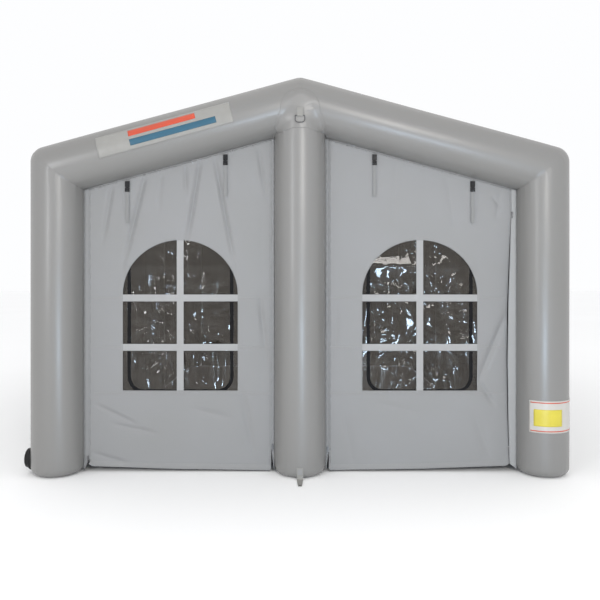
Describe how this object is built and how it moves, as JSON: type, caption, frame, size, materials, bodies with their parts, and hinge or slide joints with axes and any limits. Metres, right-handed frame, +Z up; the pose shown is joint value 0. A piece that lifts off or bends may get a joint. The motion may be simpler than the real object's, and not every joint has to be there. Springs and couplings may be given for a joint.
{
  "type": "inflatable gable tent",
  "caption": "Free-standing gabled tent on inflated air beams, with zipped front walls, arched windows and roll-up ties.",
  "frame": {"origin": "middle of the footprint, on the ground", "axes": "+X to the right seen from the front, +Y from front to back, +Z up"},
  "size_m": [4.09, 6.3006, 2.9467],
  "materials": {
    "tube_pvc": "gloss",
    "wall_cloth": "matte",
    "roof_cloth": "satin",
    "clear_pvc": "gloss",
    "webbing": "matte",
    "black_plastic": "satin",
    "valve_plastic": "matte",
    "zip_metal": "satin",
    "steel": "polished"
  },
  "bodies": {
    "frame": {"front_left_leg": "tube_pvc", "front_left_rafter": "tube_pvc", "front_right_leg": "tube_pvc", "front_right_rafter": "tube_pvc", "middle_left_leg": "tube_pvc", "middle_left_rafter": "tube_pvc", "middle_right_leg": "tube_pvc", "middle_right_rafter": "tube_pvc", "back_left_leg": "tube_pvc", "back_left_rafter": "tube_pvc", "back_right_leg": "tube_pvc", "back_right_rafter": "tube_pvc", "front_post": "tube_pvc", "back_post": "tube_pvc", "ridge_beam": "tube_pvc", "left_eave_beam": "tube_pvc", "right_eave_beam": "tube_pvc", "left_roof_sheet": "roof_cloth", "right_roof_sheet": "roof_cloth", "back_left_wall": "wall_cloth", "front_left_inner_zip_flap": "wall_cloth", "front_left_outer_zip_flap": "wall_cloth", "left_front_wall": "wall_cloth", "left_back_wall": "wall_cloth", "back_right_wall": "wall_cloth", "front_right_inner_zip_flap": "wall_cloth", "front_right_outer_zip_flap": "wall_cloth", "right_front_wall": "wall_cloth", "right_back_wall": "wall_cloth", "front_anchor_strap": "webbing", "back_anchor_strap": "webbing", "lifting_ring_tab": "webbing", "inlet_body": "valve_plastic", "relief_valve": "valve_plastic"},
    "front_left_wall": {"front_left_wall": "wall_cloth", "front_left_window_rim": "clear_pvc", "left_inner_buckle_socket": "black_plastic", "left_outer_buckle_socket": "black_plastic"},
    "front_left_window_flap": {"front_left_window_flap": "clear_pvc"},
    "left_inner_buckle": {"left_inner_buckle_plug": "black_plastic", "left_inner_tie_strap": "webbing"},
    "left_inner_zip_slider": {"left_inner_zip_slider": "zip_metal"},
    "left_outer_buckle": {"left_outer_buckle_plug": "black_plastic", "left_outer_tie_strap": "webbing"},
    "left_outer_zip_slider": {"left_outer_zip_slider": "zip_metal"},
    "front_right_wall": {"front_right_wall": "wall_cloth", "front_right_window_rim": "clear_pvc", "right_inner_buckle_socket": "black_plastic", "right_outer_buckle_socket": "black_plastic"},
    "front_right_window_flap": {"front_right_window_flap": "clear_pvc"},
    "right_inner_buckle": {"right_inner_buckle_plug": "black_plastic", "right_inner_tie_strap": "webbing"},
    "right_inner_zip_slider": {"right_inner_zip_slider": "zip_metal"},
    "right_outer_buckle": {"right_outer_buckle_plug": "black_plastic", "right_outer_tie_strap": "webbing"},
    "right_outer_zip_slider": {"right_outer_zip_slider": "zip_metal"},
    "lifting_ring": {"lifting_ring": "steel"},
    "inlet_cap": {"inlet_cap": "valve_plastic"}
  },
  "joints": [
    {"name": "front_left_wall_swing", "type": "hinge", "parent": "frame", "child": "front_left_wall", "pos_m": [-0.897, -2.81, 2.2959], "axis": [-0.965, 0, -0.2622], "range_deg": [-45, 70]},
    {"name": "front_left_window_open", "type": "hinge", "parent": "front_left_wall", "child": "front_left_window_flap", "pos_m": [-0.897, -2.8065, 1.541], "axis": [1, 0, 0], "range_deg": [0, 75]},
    {"name": "left_inner_buckle_release", "type": "slide", "parent": "front_left_wall", "child": "left_inner_buckle", "axis": [0, 0, -1], "range_m": [0, 0.04]},
    {"name": "left_outer_buckle_release", "type": "slide", "parent": "front_left_wall", "child": "left_outer_buckle", "axis": [0, 0, -1], "range_m": [0, 0.04]},
    {"name": "front_right_wall_swing", "type": "hinge", "parent": "frame", "child": "front_right_wall", "pos_m": [0.897, -2.81, 2.2959], "axis": [-0.965, 0, 0.2622], "range_deg": [-45, 70]},
    {"name": "front_right_window_open", "type": "hinge", "parent": "front_right_wall", "child": "front_right_window_flap", "pos_m": [0.897, -2.8065, 1.541], "axis": [1, 0, 0], "range_deg": [0, 75]},
    {"name": "right_inner_buckle_release", "type": "slide", "parent": "front_right_wall", "child": "right_inner_buckle", "axis": [0, 0, -1], "range_m": [0, 0.04]},
    {"name": "right_outer_buckle_release", "type": "slide", "parent": "front_right_wall", "child": "right_outer_buckle", "axis": [0, 0, -1], "range_m": [0, 0.04]},
    {"name": "left_outer_zip", "type": "slide", "parent": "frame", "child": "left_outer_zip_slider", "axis": [0, 0, 1], "range_m": [0, 1.9]},
    {"name": "left_inner_zip", "type": "slide", "parent": "frame", "child": "left_inner_zip_slider", "axis": [0, 0, 1], "range_m": [0, 2.2]},
    {"name": "right_inner_zip", "type": "slide", "parent": "frame", "child": "right_inner_zip_slider", "axis": [0, 0, 1], "range_m": [0, 2.22]},
    {"name": "right_outer_zip", "type": "slide", "parent": "frame", "child": "right_outer_zip_slider", "axis": [0, 0, 1], "range_m": [-1.85, 0.12]},
    {"name": "lifting_ring_swing", "type": "hinge", "parent": "frame", "child": "lifting_ring", "pos_m": [0, -3.0067, 2.615], "axis": [-1, 0, 0], "range_deg": [0, 150]},
    {"name": "inlet_cap_turn", "type": "hinge", "parent": "frame", "child": "inlet_cap", "pos_m": [-2.02, -2.81, 0.105], "axis": [-1, 0, 0], "continuous": true}
  ]
}
